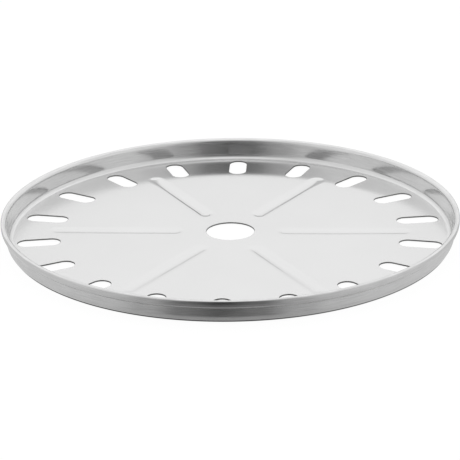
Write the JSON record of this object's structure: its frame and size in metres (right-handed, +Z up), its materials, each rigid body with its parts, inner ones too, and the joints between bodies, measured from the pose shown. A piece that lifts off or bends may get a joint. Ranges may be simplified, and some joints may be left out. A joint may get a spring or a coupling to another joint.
{
  "type": "slotted round baking tray",
  "caption": "Shallow round stainless tray for a pizza or a pizza stone: slotted floor with a centre hole and pressed radial grooves, low wall and a rim rolled over a wire.",
  "frame": {"origin": "on the tray's axis, level with the undersides of the pressed grooves that it stands on", "axes": "+Z up along the tray's axis, +X along one of the grooves"},
  "size_m": [0.32, 0.32, 0.0175],
  "materials": {
    "stainless_sheet": "bright satin pressed stainless sheet, brushed round the wall and rim",
    "rim_wire": "dull galvanised steel wire"
  },
  "bodies": {
    "root": {"tray_pan": "stainless_sheet", "rim_wire": "rim_wire"}
  },
  "joints": []
}
